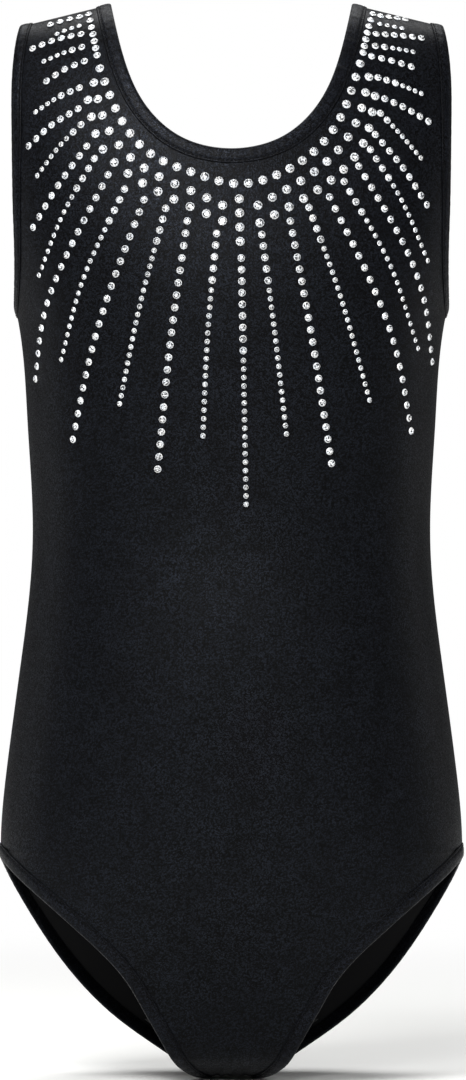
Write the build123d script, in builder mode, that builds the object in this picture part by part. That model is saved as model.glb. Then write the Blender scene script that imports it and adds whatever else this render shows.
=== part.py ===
from build123d import *
import os
import numpy as np

# A sleeveless gymnastics leotard for a child of six to eight, in the shape it has when worn.
# +X is the wearer's left, the front faces -Y and the crotch is at Z = 0. Every piece lies a
# stated distance off one surface, the middle of the knit, so the layers never meet.

# Driving dimensions, mm
FABRIC = 0.8  # thickness of the body knit
BINDING = 2.4  # thickness of a folded binding
CHANNEL = 1.1  # room inside the fold for the elastic and the panel edge
ELASTIC = 0.8  # thickness of the elastic tape
FOLD = 1.0  # cloth between the finished edge and the channel
NECK_BAND = 8.0
ARM_BAND = 7.0
LEG_BAND = 8.0
TUCK = 1.7  # length of panel edge held inside a binding
THREAD = 0.3  # height of a row of topstitching
THREAD_WIDTH = 0.5
SEAM_WIDTH = 6.0  # overlocked seam allowance
SEAM_THICKNESS = 1.1
LINING = 0.5
LINING_FRONT, LINING_BACK = 60.0, 26.0  # heights of the gusset lining's two ends
LABEL_WIDTH = 22.0
LABEL_THICKNESS = 0.3
LABEL_LOW, LABEL_HIGH = 168.0, 206.0
REST_GAP = 0.06  # clearance between pieces that touch
LARGE, MEDIUM, SMALL = 4.7, 3.9, 2.8  # crystal diameters
SEAM_Y = -6.25  # plane of the side seams, which centres the depth on Y = 0

# The worn form at several heights: height, half breadth, depth in front of the side seams and
# depth behind them. The first row is the crotch line and the last one the shoulder line.
STATIONS = np.array([
    (1.6, 46, 0, 0),
    (3.6, 58, 18, 24),
    (11, 84, 34, 48),
    (30, 101, 47, 68),
    (60, 112, 60, 84),
    (90, 117.6, 69, 91),
    (116, 119.6, 73, 92),
    (160, 116.6, 76, 86),
    (220, 108.6, 76, 72),
    (280, 103, 72, 62),
    (340, 105.6, 74, 66),
    (396, 111, 78, 73),
    (425, 118, 77.5, 76),
    (460, 124, 73, 78),
    (500, 128.5, 62, 73),
    (530, 129, 47, 60),
    (550, 127, 29, 38),
    (558.6, 125, 0, 0),
])
FLATNESS = 0.15  # how much squarer than an ellipse a level section is
SHOULDER_SLOPE = 0.25
SHOULDER_START = 430.0  # height where the shoulders begin to slope
NECK_SIDE = 62.5  # half the neck opening along the shoulder line

# Finished edges as seen from the front: (x, z) on the wearer's left half.
FRONT_NECK = [(0, 480), (24.5, 485.5), (46, 506), (55, 527), (58.5, 540)]
BACK_NECK = [(0, 440), (30, 446), (50, 466), (61, 500), (63.5, 530)]
SHOULDER_END = 110.0
FRONT_ARM = [(113, 525), (113.2, 490), (112.4, 450), (111.7, 420)]
BACK_ARM = [(113, 525), (113.2, 490), (112.4, 450), (111.7, 420)]
UNDERARM = 402.0
HIP = 114.5  # top of the leg opening on the side seam
CROTCH_HALF = 18.0
FRONT_LEG = [(32.5, 14.6), (44.5, 36.5), (54, 53), (78, 78), (103.5, 100)]
BACK_LEG = [(32.5, 9.4), (62.9, 30), (83.5, 51), (104.5, 82), (115.4, 103)]

# Crystal lines on the front as seen from the front: the points of the line, then how many
# medium and how many small stones it has. The motif sits a little to the wearer's left.
LEFT_RAYS = [
    ([(15.5, 435.5), (22, 386), (28, 334)], 5, 18),
    ([(30, 442.5), (41, 383), (51, 319)], 21, 0),
    ([(39.5, 449.5), (54.5, 407.5), (70.5, 351.5)], 4, 20),
    ([(50, 455), (72, 410), (84.5, 375.5), (92, 336)], 20, 0),
    ([(57.5, 463), (82, 418.5), (95.5, 378.5)], 4, 17),
    ([(65, 471), (86.5, 434.5), (99, 401.5), (103, 372)], 18, 0),
    ([(71, 479.7), (87, 454), (100.5, 423.5)], 4, 11),
    ([(73.6, 487.5), (87.5, 471), (100, 452)], 9, 0),
    ([(76.3, 498.6), (86.5, 488), (97, 476)], 2, 7),
    ([(78.6, 506.2), (88.5, 502), (101, 495)], 6, 0),
    ([(75.2, 517.3), (86, 514), (97.5, 509.5)], 3, 4),
    ([(72, 528.5), (82, 526.5), (92.5, 523.5)], 5, 0),
]
LEFT_STRAP = [
    ([(74, 534), (84, 533), (93.5, 531.5)], 2, 4),
    ([(74.5, 540.5), (86, 540), (98, 539)], 6, 0),
    ([(76.5, 546), (82, 545), (88, 544)], 0, 4),
    ([(77, 550.5), (83.5, 549.8), (90, 549)], 4, 0),
]
RIGHT_RAYS = [
    ([(-7.5, 436), (-12, 386), (-14.5, 333)], 5, 18),
    ([(-22.5, 442.5), (-31, 381), (-37.5, 316)], 21, 0),
    ([(-33.5, 449), (-46.5, 400), (-57, 349.5)], 4, 20),
    ([(-44.5, 453.5), (-61.5, 408.5), (-73, 370), (-81, 331.5)], 20, 0),
    ([(-54.5, 459), (-76.5, 411), (-87, 372.5)], 4, 17),
    ([(-63, 466.5), (-85.5, 423), (-96, 395), (-100.5, 363)], 18, 0),
    ([(-70, 475), (-86, 447), (-98.5, 416)], 4, 11),
    ([(-74, 481.5), (-89, 461), (-101.5, 440.5)], 9, 0),
    ([(-77, 492.7), (-87, 483), (-99.5, 467)], 2, 7),
    ([(-78.5, 501), (-92, 493), (-104, 482.5)], 7, 0),
    ([(-78, 512), (-89.5, 507), (-100.5, 500)], 3, 4),
    ([(-75.5, 526), (-85.5, 522), (-95, 516)], 5, 0),
]
RIGHT_STRAP = [
    ([(-77, 533.5), (-87, 530.5), (-96.5, 526.5)], 2, 4),
    ([(-77.5, 540.5), (-90, 538), (-102.5, 533.5)], 6, 0),
    ([(-78.5, 545), (-84.5, 543.2), (-90, 541)], 0, 4),
    ([(-78.5, 550), (-86, 548.3), (-93.5, 546.2)], 4, 0),
]
CENTRE_RAY = ([(5, 423.5), (6, 378), (7.5, 298)], 9, 18)
CENTRE_HEAD = [(4, 453.8), (4.5, 432)]  # four large stones above the centre ray
MEDIUM_PITCH, SMALL_PITCH = 6.0, 4.4

# Collar rows of large stones along the neckline: the points of each row and its stone count.
COLLAR_ROWS = {
    1: [([(-67.5, 522), (-62.5, 508.5), (-55.5, 493.5), (-41, 477), (-20, 467.5), (4, 461.5),
          (27, 468), (43.5, 479.5), (56.5, 497.5), (62, 512), (66, 524.5)], 27)],
    2: [([(-70.5, 514.5), (-65, 494.5), (-44, 469.5), (-19.5, 457.5), (-4.5, 450.5)], 12),
        ([(13.5, 450.5), (34.5, 462.5), (53.5, 478), (66, 499), (70.5, 517.5)], 12)],
    3: [([(-73.5, 505.5), (-67.5, 483), (-52, 466.5), (-30, 454), (-4.5, 442.5)], 12),
        ([(14.5, 441.5), (37.5, 454.5), (57, 469), (69, 486.5), (73.6, 507.5)], 12)],
}
LEFT_STRAP_EDGE = [(67.6, 530.3), (69.4, 539), (71.8, 548), (73, 551.5)]
RIGHT_STRAP_EDGE = [(-69, 529), (-71, 538.8), (-73, 548.2), (-73.8, 551.5)]
STRAP_EDGE_COUNT = 7


def spline_slopes(knots, values, first, last):
    """Slopes that give cubic pieces through the values the same curvature where they join."""
    step = np.diff(knots)
    rise = np.diff(values) / step
    matrix = np.eye(len(knots))
    target = np.zeros(len(knots))
    target[0], target[-1] = first, last
    for i in range(1, len(knots) - 1):
        matrix[i, i - 1:i + 2] = step[i], 2 * (step[i - 1] + step[i]), step[i - 1]
        target[i] = 3 * (step[i] * rise[i - 1] + step[i - 1] * rise[i])
    return np.linalg.solve(matrix, target)


def spline_value(t, knots, values, slopes):
    """Value at t of the cubic pieces that have these values and slopes at the knots."""
    i = np.clip(np.searchsorted(knots, t) - 1, 0, len(knots) - 2)
    step = knots[i + 1] - knots[i]
    s = (t - knots[i]) / step
    ends = values[i] * (1 + 2 * s) * (1 - s) ** 2 + values[i + 1] * s**2 * (3 - 2 * s)
    bends = slopes[i] * s * (1 - s) ** 2 - slopes[i + 1] * s**2 * (1 - s)
    return ends + step * bends


def smooth_line(points, shares):
    """Points at the given shares of the length of a smooth line through the given points."""
    points = np.array(points, float)
    knots = np.concatenate([[0], np.cumsum(np.linalg.norm(np.diff(points, axis=0), axis=1))])
    dense = np.linspace(0, knots[-1], 400)
    line = []
    for values in points.T:
        ends = np.diff(values) / np.diff(knots)
        slopes = spline_slopes(knots, values, ends[0], ends[-1])
        line.append(spline_value(dense, knots, values, slopes))
    line = np.array(line)
    length = np.concatenate([[0], np.cumsum(np.linalg.norm(np.diff(line, axis=1), axis=0))])
    return np.array([np.interp(shares * length[-1], length, row) for row in line])


KNOTS = np.concatenate([[0], np.cumsum(np.hypot(*np.diff(STATIONS[:, (0, 2)], axis=0).T))])
KNOTS /= KNOTS[-1]
CHORDS = (np.diff(STATIONS, axis=0).T / np.diff(KNOTS)).T
SLOPES = [spline_slopes(KNOTS, STATIONS[:, i], CHORDS[0, i], CHORDS[-1, i]) for i in range(4)]
# The form closes smoothly over the crotch and shoulder lines: height and breadth are level there.
SLOPES[:2] = [spline_slopes(KNOTS, STATIONS[:, i], 0, 0) for i in range(2)]


def form(rise, column):
    """One column of the worn form at `rise`, which is 0 at the crotch and 1 at the shoulders."""
    return spline_value(rise, KNOTS, STATIONS[:, column], SLOPES[column])


def shoulder_drop(x, level):
    """How far the shoulder slope lowers a point at this x and level."""
    share = np.clip((level - SHOULDER_START) / (STATIONS[-1, 0] - SHOULDER_START), 0, 1)
    return SHOULDER_SLOPE * (np.hypot(x, 20) - NECK_SIDE) * share**2 * (3 - 2 * share)


def surface(turn, rise):
    """Middle of the knit. `turn` is 0 at the centre front, pi/2 at the left side seam and pi at
    the centre back."""
    depth = np.where(np.cos(turn) > 0, form(rise, 2), form(rise, 3))
    x = form(rise, 1) * np.sin(turn)
    y = SEAM_Y - depth * np.cos(turn) * (1 + FLATNESS * np.sin(turn) ** 2)
    level = form(rise, 0)
    return np.stack([x, y, level - shoulder_drop(x, level)], axis=-1)


def slopes_at(turn, rise):
    """The surface's two slopes and its unit normal, which points away from the body."""
    step = 1e-4
    low = np.clip(rise - step, 0, 1)
    high = np.clip(rise + step, 0, 1)
    by_turn = (surface(turn + step, rise) - surface(turn - step, rise)) / (2 * step)
    by_rise = (surface(turn, high) - surface(turn, low)) / (high - low)[..., None]
    normal = np.cross(by_turn, by_rise)
    # The form is level from front to back on the crotch and shoulder lines.
    normal[..., 1] = np.where((rise == 0) | (rise == 1), 0, normal[..., 1])
    return by_turn, by_rise, normal / np.linalg.norm(normal, axis=-1, keepdims=True)


def lifted(turn, rise, lift):
    """Points `lift` outside the middle of the knit."""
    return surface(turn, rise) + lift * slopes_at(turn, rise)[2]


def place(x, z, behind=False):
    """Turn and rise of the point that a view from the front shows at (x, z)."""
    level = z + 0 * x
    for _ in range(12):
        level = z + shoulder_drop(x, level)
    dense = np.linspace(0, 1, 4001)
    rise = np.interp(level, form(dense, 0), dense)
    turn = np.arcsin(np.clip(x / form(rise, 1), -1, 1))
    return (np.pi - turn if behind else turn), rise


def edge_path(points, count=90):
    """Evenly spaced (turn, rise) along a smooth edge through the given (turn, rise) points."""
    points = np.array(points, float)
    body = surface(*points.T)
    knots = np.concatenate([[0], np.cumsum(np.linalg.norm(np.diff(body, axis=0), axis=1))])
    dense = np.linspace(0, knots[-1], 800)
    # The edge crosses the centre, crotch and shoulder lines squarely.
    ends = (np.diff(points, axis=0).T / np.diff(knots)).T[[0, -1]]
    for end, (turn, rise) in zip(ends, points[[0, -1]]):
        end[0] = 0 if rise in (0, 1) else end[0]
        end[1] = 0 if abs(np.sin(turn)) < 1e-9 else end[1]
    line = []
    for values, (first, last) in zip(points.T, ends.T):
        slopes = spline_slopes(knots, values, first, last)
        line.append(spline_value(dense, knots, values, slopes))
    turn, rise = line[0], np.clip(line[1], 0, 1)
    body = surface(turn, rise)
    length = np.concatenate([[0], np.cumsum(np.linalg.norm(np.diff(body, axis=0), axis=1))])
    even = np.linspace(0, length[-1], count)
    return np.interp(even, length, turn), np.interp(even, length, rise)


def moved(path, distance):
    """The path moved to its left across the knit. An end on the shoulder or crotch line stays on
    that line, and one on the centre line stays there."""
    turn, rise = path
    steps = max(1, int(np.ceil(abs(distance))))
    for _ in range(steps):
        by_turn, by_rise, normal = slopes_at(turn, rise)
        tangent = np.gradient(surface(turn, rise), axis=0)
        tangent /= np.linalg.norm(tangent, axis=1, keepdims=True)
        across = np.cross(normal, tangent) * distance / steps
        a = (by_turn**2).sum(1)
        b = (by_turn * by_rise).sum(1)
        c = (by_rise**2).sum(1)
        p = (by_turn * across).sum(1)
        q = (by_rise * across).sum(1)
        turn_step = (p * c - q * b) / (a * c - b * b)
        rise_step = (q * a - p * b) / (a * c - b * b)
        for end in (0, -1):
            if rise[end] in (0, 1):
                turn_step[end] = np.sign(p[end]) * abs(distance / steps) / np.sqrt(a[end])
                rise_step[end] = 0
            elif abs(np.sin(turn[end])) < 1e-9:
                turn_step[end] = 0
                rise_step[end] = np.sign(q[end]) * abs(distance / steps) / np.sqrt(c[end])
        turn = turn + turn_step
        rise = rise + rise_step
    return turn, rise


def on_seam(turn, rise, lift, gap=REST_GAP):
    """Points `lift` outside the middle of the knit along a path. An end on the shoulder or crotch
    line stops `gap` short of that line, and an end on the centre line lies exactly on it."""
    points = lifted(turn, rise, lift)
    for end, inner in ((0, 1), (-1, -2)):
        if rise[end] in (0, 1):
            points[end, 1] = SEAM_Y + np.sign(points[inner, 1] - SEAM_Y) * gap
        if abs(np.sin(turn[end])) < 1e-9:
            points[end, 0] = 0
    return points


def ruled(first, second):
    """The straight-ruled face between two edges."""
    return Face.make_surface_from_curves(first, second)


def spline_edge(points):
    """A smooth edge through a row of points."""
    return Edge.make_spline([Vector(*point) for point in points])


def line_edge(start, end):
    """A straight edge between two points."""
    return Edge.make_line(Vector(*start), Vector(*end))


def band_solid(rails):
    """A closed solid whose long edges are the given rails, with a flat cap at each end."""
    edges = [spline_edge(points) for points in rails]
    faces = [ruled(a, b) for a, b in zip(edges, edges[1:] + edges[:1])]
    for end in (0, -1):
        corners = [Vector(*points[end]) for points in rails]
        faces.append(Face(Wire.make_polygon(corners)))
    return Solid(Shell(faces))


def band(path, section):
    """A band along a path; its section is given as (distance in from the path, lift) corners."""
    return band_solid([on_seam(*moved(path, distance), lift) for distance, lift in section])


def ring_half(front, back, section):
    """Half of a band that crosses the shoulder, from the centre back to the centre front."""
    rails = []
    for distance, lift in section:
        behind = on_seam(*moved(back, distance), lift, gap=0)
        before = on_seam(*moved(front, distance), lift, gap=0)
        rails.append(np.concatenate([behind, before[1:]]))
    return band_solid(rails)


def sheet(blocks, low, high):
    """One closed solid between two lifts over a stack of blocks. A block holds turn and rise for
    each column and row, and shares its last row with the next block's first."""
    faces = []
    for number, (turn, rise) in enumerate(blocks):
        skins = [lifted(turn, rise, lift) for lift in (low, high)]
        rails = [[spline_edge(points) for points in skin] for skin in skins]
        for side in rails:
            faces += [ruled(a, b) for a, b in zip(side, side[1:])]
        faces += [ruled(rails[0][end], rails[1][end]) for end in (0, -1)]
        outer_ends = [0] * (number == 0) + [-1] * (number == len(blocks) - 1)
        for end in outer_ends:
            for k in range(len(turn) - 1):
                lines = [line_edge(skin[k, end], skin[k + 1, end]) for skin in skins]
                faces.append(ruled(*lines))
    return Solid(Shell(faces))


# Finished edges as paths with the knit on their left.
arm_end = np.arcsin(SHOULDER_END / STATIONS[-1, 1])
neck_end = np.arcsin(NECK_SIDE / STATIONS[-1, 1])
leg_end = np.arcsin(CROTCH_HALF / STATIONS[0, 1])
left_arm = edge_path(
    [(np.pi - arm_end, 1)]
    + [place(x, z, behind=True) for x, z in BACK_ARM]
    + [(np.pi / 2, place(0, UNDERARM)[1])]
    + [place(x, z) for x, z in reversed(FRONT_ARM)]
    + [(arm_end, 1)]
)
left_leg = edge_path(
    [(leg_end, 0)]
    + [place(x, z) for x, z in FRONT_LEG]
    + [(np.pi / 2, place(0, HIP)[1])]
    + [place(x, z, behind=True) for x, z in reversed(BACK_LEG)]
    + [(np.pi - leg_end, 0)]
)
front_neck = edge_path(
    [(neck_end, 1)] + [place(x, z) for x, z in reversed(FRONT_NECK)], count=45
)
back_neck = edge_path(
    [place(x, z, behind=True) for x, z in BACK_NECK] + [(np.pi - neck_end, 1)], count=55
)


def side_limits(path, distance, behind, seam_on_top):
    """Rise and turn of a side edge moved in by `distance`, from its low end to its high end. The
    end on the side seam has the turn SIDE."""
    turn, rise = moved(path, distance)
    turn = np.pi - turn if behind else turn
    i = np.flatnonzero(np.diff(np.sign(turn - SIDE)))[0]
    seam_rise = rise[i] + (rise[i + 1] - rise[i]) * (SIDE - turn[i]) / (turn[i + 1] - turn[i])
    near = (turn < SIDE - 0.02) & ((rise < seam_rise) == seam_on_top)
    rise = np.append(rise[near], seam_rise)
    turn = np.append(turn[near], SIDE)
    order = np.argsort(rise)
    return rise[order], turn[order]


COLUMNS = np.linspace(-1, 1, 61)
NECK_SHARE = 0.6  # share of the half panel's columns that end on the neckline
SIDE = np.pi / 2 - 0.0006  # the panels stop just short of the side seam's middle
ALMOST = 0.9999  # and just short of the shoulder and crotch lines


def panel_blocks(neck, behind):
    """The three blocks of a body panel: crotch to hip, hip to underarm, underarm to shoulder.
    The columns of the top block end evenly along the neckline and the shoulder line."""
    leg_rise, leg_turn = side_limits(left_leg, LEG_BAND - TUCK, behind, True)
    arm_rise, arm_turn = side_limits(left_arm, ARM_BAND - TUCK, behind, False)
    neck_turn, neck_rise = moved(neck, NECK_BAND - TUCK)
    if behind:
        neck_turn = np.pi - neck_turn
    else:
        neck_turn, neck_rise = neck_turn[::-1], neck_rise[::-1]
    u = COLUMNS[:, None]
    low = np.linspace(1 - ALMOST, leg_rise[-1], 30)[None]
    middle = np.linspace(leg_rise[-1], arm_rise[0], 24)[None]

    size = np.abs(COLUMNS)
    share = np.linspace(0, 1, len(neck_turn))
    on_neck = np.clip(size / NECK_SHARE, 0, 1)
    on_shoulder = np.clip((size - NECK_SHARE) / (1 - NECK_SHARE), 0, 1)
    top_turn = np.interp(on_neck, share, neck_turn) + on_shoulder * (arm_turn[-1] - neck_turn[-1])
    top_rise = np.interp(on_neck, share, neck_rise)
    v = np.linspace(0, 1, 26)
    arm_share = np.linspace(0, 1, len(arm_turn))
    side_turn = np.interp(v, arm_share, arm_turn)
    side_rise = np.interp(v, arm_share, arm_rise)
    w = size[:, None]
    high_turn = v * top_turn[:, None] + w * (side_turn - v * side_turn[-1])
    high_rise = (1 - v) * arm_rise[0] + v * top_rise[:, None]
    high_rise += w * (side_rise - (1 - v) * arm_rise[0] - v * side_rise[-1])
    blocks = [
        (u * np.interp(low, leg_rise, leg_turn), low + 0 * u),
        (u * SIDE + 0 * middle, middle + 0 * u),
        (np.sign(u) * high_turn, np.minimum(high_rise, ALMOST)),
    ]
    if behind:
        blocks = [(np.pi + turn, rise) for turn, rise in blocks]
    return blocks


def binding_section(width):
    """The folded band: two layers joined at the finished edge, open towards the panel."""
    outer, inner = BINDING / 2, CHANNEL / 2
    outside = [(0, -outer), (0, outer), (width, outer), (width, inner)]
    return outside + [(FOLD, inner), (FOLD, -inner), (width, -inner), (width, -outer)]


def elastic_section(width):
    """The tape in the fold, between the finished edge and the panel edge."""
    start, stop = FOLD + REST_GAP, width - TUCK - 2 * REST_GAP
    half = ELASTIC / 2
    return [(start, -half), (start, half), (stop, half), (stop, -half)]


def thread_section(distance):
    """A row of topstitching on the outside of a band."""
    low = BINDING / 2 + REST_GAP
    high = low + THREAD
    far = distance + THREAD_WIDTH
    return [(distance, low), (distance, high), (far, high), (far, low)]


def crossing_blocks(front, back):
    """Two blocks that meet on the shoulder line or the crotch line, from (turn, rise) arrays that
    end on that line."""
    back_turn, back_rise = np.pi - back[0], back[1]
    return [front, (back_turn[:, ::-1], back_rise[:, ::-1])]


def write(piece, name):
    """Labels a finished piece and writes it as its own file."""
    piece.part.label = name
    export_step(piece.part, f"parts/{name}.step")


os.makedirs("parts", exist_ok=True)

# Body panels: single layers of knit, tucked into the bindings and butted at the seams.
with BuildPart() as front_panel:
    add(sheet(panel_blocks(front_neck, behind=False), -FABRIC / 2, FABRIC / 2))
write(front_panel, "front_panel")

with BuildPart() as back_panel:
    add(sheet(panel_blocks(back_neck, behind=True), -FABRIC / 2, FABRIC / 2))
write(back_panel, "back_panel")

# Neck binding, its elastic and its stitching: closed rings over both shoulders.
NECK_RINGS = {
    "neck_binding": binding_section(NECK_BAND),
    "neck_elastic": elastic_section(NECK_BAND),
    "neck_topstitch": thread_section(NECK_BAND - 1.6),
}
for name, section in NECK_RINGS.items():
    with BuildPart() as ring:
        add(ring_half(front_neck, back_neck, section))
        mirror(about=Plane.YZ)
    write(ring, name)

# Armhole and leg bands. Their ends butt at the shoulder seam and at the crotch seam.
EDGE_BANDS = {
    "armhole": (left_arm, ARM_BAND, [1.2, ARM_BAND - 1.6]),
    "leg": (left_leg, LEG_BAND, [LEG_BAND - 1.6]),
}
for edge, (path, width, stitch_rows) in EDGE_BANDS.items():
    with BuildPart() as left_binding:
        add(band(path, binding_section(width)))
    with BuildPart() as left_elastic:
        add(band(path, elastic_section(width)))
    with BuildPart() as left_topstitch:
        for distance in stitch_rows:
            add(band(path, thread_section(distance)))
    pieces = {"binding": left_binding, "elastic": left_elastic, "topstitch": left_topstitch}
    for kind, left_piece in pieces.items():
        with BuildPart() as right_piece:
            mirror(left_piece.part, about=Plane.YZ)
        write(left_piece, f"{edge}_{kind}_left")
        write(right_piece, f"{edge}_{kind}_right")

# Overlocked seam allowances, flat against the inside of the knit.
seam_high = -FABRIC / 2 - REST_GAP
seam_low = seam_high - SEAM_THICKNESS
hip_rise = place(0, HIP + LEG_BAND + 1)[1]
underarm_rise = place(0, UNDERARM - ARM_BAND - 1)[1]


def beside_seam(first, last, low_rise, high_rise):
    """A block beside the left side seam, between two distances behind it."""
    rise = np.linspace(low_rise, high_rise, 24)
    seam = np.full(len(rise), np.pi / 2)
    speed = np.linalg.norm(slopes_at(seam, rise)[0], axis=-1)
    distance = np.linspace(first, last, 7)[:, None]
    return seam + distance / speed, rise + 0 * distance


with BuildPart() as side_seam_left:
    block = beside_seam(-SEAM_WIDTH / 2, SEAM_WIDTH / 2, hip_rise, underarm_rise)
    add(sheet([block], seam_low, seam_high))
with BuildPart() as side_seam_right:
    mirror(side_seam_left.part, about=Plane.YZ)
write(side_seam_left, "side_seam_left")
write(side_seam_right, "side_seam_right")

shoulder_x = np.linspace(NECK_SIDE + NECK_BAND + 1, SHOULDER_END - ARM_BAND - 1, 9)
shoulder_turn = np.arcsin(shoulder_x / STATIONS[-1, 1])[:, None]
seam_reach = 1 - SEAM_WIDTH / 2 / np.linalg.norm(CHORDS[-1, (0, 2)])
with BuildPart() as shoulder_seam_left:
    rise = np.linspace(seam_reach, 1, 5)[None]
    side = (shoulder_turn + 0 * rise, rise + 0 * shoulder_turn)
    add(sheet(crossing_blocks(side, side), seam_low, seam_high))
with BuildPart() as shoulder_seam_right:
    mirror(shoulder_seam_left.part, about=Plane.YZ)
write(shoulder_seam_left, "shoulder_seam_left")
write(shoulder_seam_right, "shoulder_seam_right")

crotch_x = np.linspace(-1, 1, 9) * (CROTCH_HALF - LEG_BAND - 1)
crotch_turn = np.arcsin(crotch_x / STATIONS[0, 1])[:, None]
with BuildPart() as crotch_seam:
    rise = np.linspace(1 - seam_reach, 0, 5)[None]
    side = (crotch_turn + 0 * rise, rise + 0 * crotch_turn)
    add(sheet(crossing_blocks(side, side), seam_low, seam_high))
write(crotch_seam, "crotch_seam")

# Gusset lining, inside the crotch between the leg bands.
lining_high = seam_low - REST_GAP
lining_sides = []
for behind, top in ((False, LINING_FRONT), (True, LINING_BACK)):
    leg_rise, leg_turn = side_limits(left_leg, LEG_BAND + 1, behind, True)
    rise = np.linspace(place(0, top)[1], 0, 20)[None]
    share = np.linspace(-1, 1, 25)[:, None]
    lining_sides.append((share * np.interp(rise, leg_rise, leg_turn), rise + 0 * share))
with BuildPart() as gusset_lining:
    add(sheet(crossing_blocks(*lining_sides), lining_high - LINING, lining_high))
write(gusset_lining, "gusset_lining")

# Blank care label, caught in the left side seam and lying over its allowance.
with BuildPart() as care_label:
    block = beside_seam(-1, LABEL_WIDTH - 1, place(0, LABEL_LOW)[1], place(0, LABEL_HIGH)[1])
    add(sheet([block], lining_high - LABEL_THICKNESS, lining_high))
write(care_label, "care_label")


def glue(spots, diameter):
    """Flat-back crystals of one size, each standing square on the knit, added to the part."""
    turn, rise = place(*np.array(spots, float))
    seats = lifted(turn, rise, FABRIC / 2 + REST_GAP)
    outward = slopes_at(turn, rise)[2]
    planes = [
        Plane(Vector(*seat), x_dir=Vector(1, 0, 0.1), z_dir=Vector(*normal))
        for seat, normal in zip(seats, outward)
    ]
    foot = (Align.CENTER, Align.CENTER, Align.MIN)
    with Locations(*planes):
        Cone(diameter / 2, 0.28 * diameter, 0.38 * diameter, align=foot)


def ray_spots(points, medium_count, small_count):
    """Where the medium stones and then the small stones of a ray go."""
    pitch = np.array([MEDIUM_PITCH] * medium_count + [SMALL_PITCH] * small_count)
    place_along = np.concatenate([[0], np.cumsum((pitch[1:] + pitch[:-1]) / 2)])
    spots = smooth_line(points, place_along / place_along[-1])
    return spots[:, :medium_count], spots[:, medium_count:]


def ray(points, medium_count, small_count):
    """A ray of crystals, added to the part."""
    medium_spots, small_spots = ray_spots(points, medium_count, small_count)
    if medium_count:
        glue(medium_spots, MEDIUM)
    if small_count:
        glue(small_spots, SMALL)


# Crystals, one node for each row and ray.
for number, rows in COLLAR_ROWS.items():
    with BuildPart() as collar_row:
        for points, count in rows:
            glue(smooth_line(points, np.linspace(0, 1, count)), LARGE)
    write(collar_row, f"crystal_collar_row_{number}")

with BuildPart() as centre_ray:
    glue(smooth_line(CENTRE_HEAD, np.linspace(0, 1, 4)), LARGE)
    ray(*CENTRE_RAY)
write(centre_ray, "crystal_centre_ray")

for hand, rays in (("left", LEFT_RAYS), ("right", RIGHT_RAYS)):
    for number, line in enumerate(rays, 1):
        with BuildPart() as one_ray:
            ray(*line)
        write(one_ray, f"crystal_ray_{hand}_{number:02d}")

STRAPS = {"left": (LEFT_STRAP, LEFT_STRAP_EDGE), "right": (RIGHT_STRAP, RIGHT_STRAP_EDGE)}
for hand, (lines, strap_edge) in STRAPS.items():
    with BuildPart() as strap_stones:
        glue(smooth_line(strap_edge, np.linspace(0, 1, STRAP_EDGE_COUNT)), MEDIUM)
        for line in lines:
            ray(*line)
    write(strap_stones, f"crystal_strap_{hand}")
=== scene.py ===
import bpy
import numpy as np
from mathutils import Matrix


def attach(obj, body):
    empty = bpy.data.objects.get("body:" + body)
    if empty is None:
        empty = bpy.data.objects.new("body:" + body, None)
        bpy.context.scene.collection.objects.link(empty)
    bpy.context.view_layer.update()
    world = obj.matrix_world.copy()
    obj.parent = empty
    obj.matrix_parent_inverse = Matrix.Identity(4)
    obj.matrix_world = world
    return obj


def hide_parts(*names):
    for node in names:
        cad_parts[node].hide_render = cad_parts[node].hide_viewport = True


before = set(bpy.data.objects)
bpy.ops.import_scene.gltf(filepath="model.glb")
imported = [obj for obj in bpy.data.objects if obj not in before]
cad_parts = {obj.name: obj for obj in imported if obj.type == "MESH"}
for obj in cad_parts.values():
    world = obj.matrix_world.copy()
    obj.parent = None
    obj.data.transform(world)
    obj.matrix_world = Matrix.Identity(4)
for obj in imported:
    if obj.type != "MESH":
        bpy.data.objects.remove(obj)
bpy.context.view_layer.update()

# ---- Worn form -----------------------------------------------------------------------------
# The leotard is a close knit that takes the shape of a child's body. Every piece lies a stated
# distance off this one form, the middle of the knit, in the CAD model and here alike.

MM = 0.001  # sizes are in mm until a mesh is made
SEAM_Y = -6.25  # plane of the side seams
FLATNESS = 0.15  # how much squarer than an ellipse a level section is
SHOULDER_SLOPE, SHOULDER_START = 0.25, 430.0  # drop per mm outwards, and the height it starts at
SHOULDER_ROUND = 20.0  # rounds the slope off at the middle
NECK_SIDE = 62.5  # half the neck's breadth on the shoulder line
# Height, half breadth, depth in front of the side seams and depth behind them.
STATIONS = np.array([
    (1.6, 46, 0, 0), (3.6, 58, 18, 24), (11, 84, 34, 48), (30, 101, 47, 68),
    (60, 112, 60, 84), (90, 117.6, 69, 91), (116, 119.6, 73, 92), (160, 116.6, 76, 86),
    (220, 108.6, 76, 72), (280, 103, 72, 62), (340, 105.6, 74, 66), (396, 111, 78, 73),
    (425, 118, 77.5, 76), (460, 124, 73, 78), (500, 128.5, 62, 73), (530, 129, 47, 60),
    (550, 127, 29, 38), (558.6, 125, 0, 0),
])


def spline_slopes(knots, values, first, last):
    """Slopes that give cubic pieces through the values the same curvature where they join."""
    step = np.diff(knots)
    rise = np.diff(values) / step
    matrix = np.eye(len(knots))
    target = np.zeros(len(knots))
    target[0], target[-1] = first, last
    for i in range(1, len(knots) - 1):
        matrix[i, i - 1:i + 2] = step[i], 2 * (step[i - 1] + step[i]), step[i - 1]
        target[i] = 3 * (step[i] * rise[i - 1] + step[i - 1] * rise[i])
    return np.linalg.solve(matrix, target)


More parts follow.
